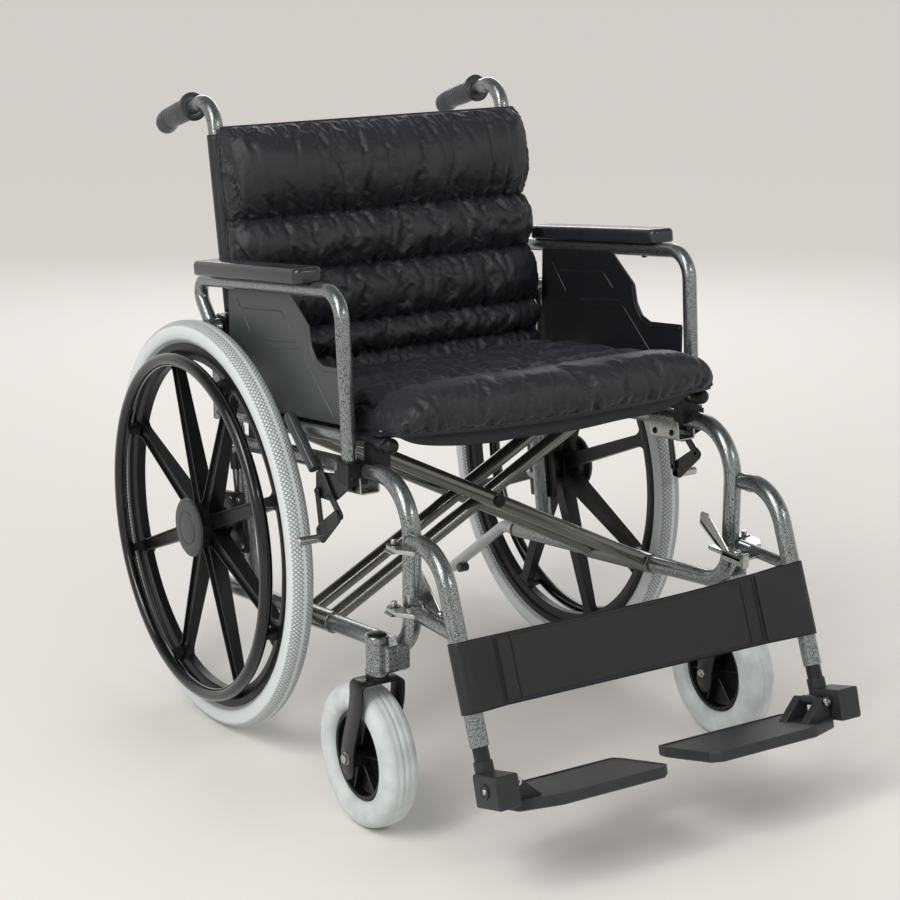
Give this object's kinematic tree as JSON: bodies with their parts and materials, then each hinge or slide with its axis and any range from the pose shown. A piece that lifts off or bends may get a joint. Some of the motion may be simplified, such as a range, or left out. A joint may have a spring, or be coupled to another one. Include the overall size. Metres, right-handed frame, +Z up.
{
  "type": "bariatric folding wheelchair",
  "caption": "Folding self-propelled wheelchair for heavy users, with flip-back armrests, swing-away legrests, wheel locks and padded seat and back.",
  "frame": {"origin": "on the floor, midway across the wheels and midway between the rear of the tyres and the front of the footplates", "axes": "-Y is the way the sitter faces, +X is the sitter's left, +Z is up"},
  "size_m": [0.716, 1.0798, 0.9239],
  "materials": {
    "hammertone": "hammered satin",
    "gunmetal": "smooth satin",
    "zinc": "bright zinc",
    "black_plastic": "satin moulded",
    "grey_plastic": "grained moulded",
    "black_gloss": "gloss coated",
    "rubber": "matte",
    "grey_tyre": "matte",
    "nylon": "woven, slightly sheeny",
    "pad_skin": "satin skinned foam",
    "zinc_black": "black coated steel"
  },
  "bodies": {
    "frame_left": {"side_frame_left": "hammertone", "back_cane_left": "hammertone", "handle_grip_left": "rubber", "rear_saddle_left": "black_plastic", "arm_socket_left": "black_plastic", "arm_clamp_left": "black_plastic", "brake_bracket_left": "zinc_black", "anti_tip": "zinc", "seat_sling": "nylon", "seat_cushion": "nylon", "back_sling": "nylon", "back_cushion": "nylon"},
    "brace_a": {"brace_a": "gunmetal"},
    "brace_b": {"brace_b": "gunmetal"},
    "frame_right": {"side_frame_right": "hammertone", "back_cane_right": "hammertone", "handle_grip_right": "rubber", "rear_saddle_right": "black_plastic", "arm_socket_right": "black_plastic", "arm_clamp_right": "black_plastic", "brake_bracket_right": "zinc_black"},
    "wheel_left": {"tyre_left": "grey_tyre", "mag_wheel_left": "black_plastic", "wheel_axle_left": "grey_plastic", "handrim_left": "black_gloss"},
    "castor_swivel_left": {"castor_fork_left": "zinc_black"},
    "castor_wheel_left": {"castor_tyre_left": "grey_tyre", "castor_hub_left": "black_plastic"},
    "armrest_left": {"armrest_tube_left": "hammertone", "arm_pad_left": "pad_skin", "skirt_guard_left": "grey_plastic"},
    "legrest_left": {"hanger_left": "hammertone", "calf_strap": "nylon"},
    "latch_left": {"latch_lever_left": "zinc"},
    "extension_left": {"extension_tube_left": "black_gloss", "foot_clamp_left": "grey_plastic"},
    "foot_left": {"footplate_left": "grey_plastic", "footplate_pin_left": "zinc_black"},
    "lock_lever_left": {"brake_lever_left": "zinc_black"},
    "lock_link_left": {"brake_link_left": "zinc_black"},
    "lock_shoe_left": {"brake_shoe_left": "zinc_black"},
    "wheel_right": {"tyre_right": "grey_tyre", "mag_wheel_right": "black_plastic", "wheel_axle_right": "grey_plastic", "handrim_right": "black_gloss"},
    "castor_swivel_right": {"castor_fork_right": "zinc_black"},
    "castor_wheel_right": {"castor_tyre_right": "grey_tyre", "castor_hub_right": "black_plastic"},
    "armrest_right": {"armrest_tube_right": "hammertone", "arm_pad_right": "pad_skin", "skirt_guard_right": "grey_plastic"},
    "legrest_right": {"hanger_right": "hammertone"},
    "latch_right": {"latch_lever_right": "zinc"},
    "extension_right": {"extension_tube_right": "black_gloss", "foot_clamp_right": "grey_plastic"},
    "foot_right": {"footplate_right": "grey_plastic", "footplate_pin_right": "zinc_black"},
    "lock_lever_right": {"brake_lever_right": "zinc_black"},
    "lock_link_right": {"brake_link_right": "zinc_black"},
    "lock_shoe_right": {"brake_shoe_right": "zinc_black"}
  },
  "joints": [
    {"name": "fold", "type": "hinge", "parent": "frame_left", "child": "brace_a", "pos_m": [0.264, -0.07608, 0.23269], "axis": [0, 0.9925, -0.1219], "range_deg": [0, 43], "deforming": ["seat_sling", "seat_cushion", "back_sling", "back_cushion", "calf_strap"]},
    {"name": "brace_pivot", "type": "hinge", "parent": "brace_a", "child": "brace_b", "pos_m": [0, -0.05948, 0.36783], "axis": [0, 0.9925, -0.1219], "range_deg": [-86, 0]},
    {"name": "frame_hinge", "type": "hinge", "parent": "brace_b", "child": "frame_right", "pos_m": [-0.264, -0.07608, 0.23269], "axis": [0, 0.9925, -0.1219], "range_deg": [0, 43]},
    {"name": "wheel_spin_left", "type": "hinge", "parent": "frame_left", "child": "wheel_left", "pos_m": [0.315, 0.23492, 0.305], "axis": [1, 0, 0], "continuous": true},
    {"name": "castor_turn_left", "type": "hinge", "parent": "frame_left", "child": "castor_swivel_left", "pos_m": [0.301, -0.24108, 0.2225], "axis": [0, 0, 1], "continuous": true},
    {"name": "castor_spin_left", "type": "hinge", "parent": "castor_swivel_left", "child": "castor_wheel_left", "pos_m": [0.301, -0.21507, 0.1], "axis": [1, 0, 0], "continuous": true},
    {"name": "armrest_flip_left", "type": "hinge", "parent": "frame_left", "child": "armrest_left", "pos_m": [0.2855, 0.26493, 0.594], "axis": [-1, 0, 0], "range_deg": [0, 90]},
    {"name": "legrest_swing_left", "type": "hinge", "parent": "frame_left", "child": "legrest_left", "pos_m": [0.29, -0.26808, 0.3165], "axis": [0, 0, 1], "range_deg": [0, 90], "deforming": ["calf_strap"]},
    {"name": "latch_turn_left", "type": "hinge", "parent": "legrest_left", "child": "latch_left", "pos_m": [0.2435, -0.31007, 0.3165], "axis": [0, 0, 1], "range_deg": [0, 22], "stiffness_Nm_per_rad": 0.3},
    {"name": "legrest_length_left", "type": "slide", "parent": "legrest_left", "child": "extension_left", "axis": [0, -0.3795, -0.9252], "range_m": [-0.012, 0.04]},
    {"name": "foot_flip_left", "type": "hinge", "parent": "extension_left", "child": "foot_left", "pos_m": [0.2515, -0.50548, 0.1574], "axis": [0, 0.9613, -0.2756], "range_deg": [0, 90]},
    {"name": "lock_lever_turn_left", "type": "hinge", "parent": "frame_left", "child": "lock_lever_left", "pos_m": [0.2968, -0.11407, 0.436], "axis": [1, 0, 0], "range_deg": [0, 29.4]},
    {"name": "lock_link_turn_left", "type": "hinge", "parent": "frame_left", "child": "lock_link_left", "pos_m": [0.2968, -0.07708, 0.432], "axis": [1, 0, 0], "range_deg": [0, 21.5]},
    {"name": "lock_shoe_turn_left", "type": "hinge", "parent": "lock_link_left", "child": "lock_shoe_left", "pos_m": [0.3004, -0.08808, 0.381], "axis": [1, 0, 0], "range_deg": [-11.3, 0]},
    {"name": "wheel_spin_right", "type": "hinge", "parent": "frame_right", "child": "wheel_right", "pos_m": [-0.315, 0.23492, 0.305], "axis": [1, 0, 0], "continuous": true},
    {"name": "castor_turn_right", "type": "hinge", "parent": "frame_right", "child": "castor_swivel_right", "pos_m": [-0.301, -0.24108, 0.2225], "axis": [0, 0, 1], "continuous": true},
    {"name": "castor_spin_right", "type": "hinge", "parent": "castor_swivel_right", "child": "castor_wheel_right", "pos_m": [-0.301, -0.21507, 0.1], "axis": [1, 0, 0], "continuous": true},
    {"name": "armrest_flip_right", "type": "hinge", "parent": "frame_right", "child": "armrest_right", "pos_m": [-0.2855, 0.26493, 0.594], "axis": [-1, 0, 0], "range_deg": [0, 90]},
    {"name": "legrest_swing_right", "type": "hinge", "parent": "frame_right", "child": "legrest_right", "pos_m": [-0.29, -0.26808, 0.3165], "axis": [0, 0, -1], "range_deg": [0, 90], "deforming": ["calf_strap"]},
    {"name": "latch_turn_right", "type": "hinge", "parent": "legrest_right", "child": "latch_right", "pos_m": [-0.2435, -0.31007, 0.3165], "axis": [0, 0, -1], "range_deg": [0, 22], "stiffness_Nm_per_rad": 0.3},
    {"name": "legrest_length_right", "type": "slide", "parent": "legrest_right", "child": "extension_right", "axis": [0, -0.3795, -0.9252], "range_m": [-0.012, 0.04]},
    {"name": "foot_flip_right", "type": "hinge", "parent": "extension_right", "child": "foot_right", "pos_m": [-0.2515, -0.50548, 0.1574], "axis": [0, -0.9613, 0.2756], "range_deg": [0, 90]},
    {"name": "lock_lever_turn_right", "type": "hinge", "parent": "frame_right", "child": "lock_lever_right", "pos_m": [-0.2968, -0.11407, 0.436], "axis": [1, 0, 0], "range_deg": [0, 29.4]},
    {"name": "lock_link_turn_right", "type": "hinge", "parent": "frame_right", "child": "lock_link_right", "pos_m": [-0.2968, -0.07708, 0.432], "axis": [1, 0, 0], "range_deg": [0, 21.5]},
    {"name": "lock_shoe_turn_right", "type": "hinge", "parent": "lock_link_right", "child": "lock_shoe_right", "pos_m": [-0.3004, -0.08808, 0.381], "axis": [1, 0, 0], "range_deg": [-11.3, 0]}
  ],
  "couplings": [
    {"joint": "brace_pivot", "follows": "fold", "ratio": -2},
    {"joint": "frame_hinge", "follows": "fold", "ratio": 1},
    {"joint": "foot_flip_left", "follows": "fold", "ratio": 2.09},
    {"joint": "lock_link_turn_left", "follows": "lock_lever_turn_left", "ratio": 0.7236},
    {"joint": "lock_shoe_turn_left", "follows": "lock_lever_turn_left", "ratio": -0.3766},
    {"joint": "foot_flip_right", "follows": "fold", "ratio": 2.09},
    {"joint": "lock_link_turn_right", "follows": "lock_lever_turn_right", "ratio": 0.7236},
    {"joint": "lock_shoe_turn_right", "follows": "lock_lever_turn_right", "ratio": -0.3766}
  ]
}
